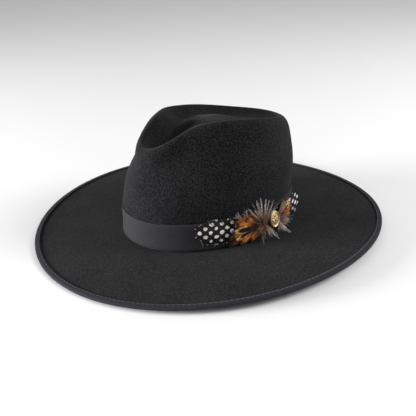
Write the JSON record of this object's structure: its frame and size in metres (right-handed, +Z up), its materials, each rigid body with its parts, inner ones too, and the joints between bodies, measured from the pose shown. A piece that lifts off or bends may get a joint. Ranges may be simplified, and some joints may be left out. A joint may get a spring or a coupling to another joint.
{
  "type": "flat brim hat",
  "caption": "Felt hat with a wide flat bound brim, a pinched teardrop crown, a ribbon band and a feather trim with an oval medal.",
  "frame": {"origin": "on the surface that the brim rests on, under the middle of the hat", "axes": "+Z up, -Y towards the front of the hat, +X towards the wearer's left, where the feather trim is"},
  "size_m": [0.372, 0.386, 0.1265],
  "materials": {
    "wool_felt": "brushed short nap",
    "grosgrain_ribbon": "fine upright ribs, soft sheen",
    "binding_ribbon": "fine ribs, stitched",
    "backing_felt": "plain black felt",
    "guinea_feather": "dark barbs with round white spots",
    "pheasant_feather": "copper barbs with dark centres and buff edges",
    "marabou_down": "soft loose barbs",
    "gilt_metal": "worn gilt relief"
  },
  "bodies": {
    "root": {"felt_body": "wool_felt", "hat_band": "grosgrain_ribbon", "brim_binding": "binding_ribbon", "feather_backing": "backing_felt", "front_guinea_plume": "guinea_feather", "rear_guinea_plume": "guinea_feather", "front_pheasant_plume": "pheasant_feather", "rear_pheasant_plume": "pheasant_feather", "fluff_tuft": "marabou_down", "oval_badge": "gilt_metal"}
  },
  "joints": []
}
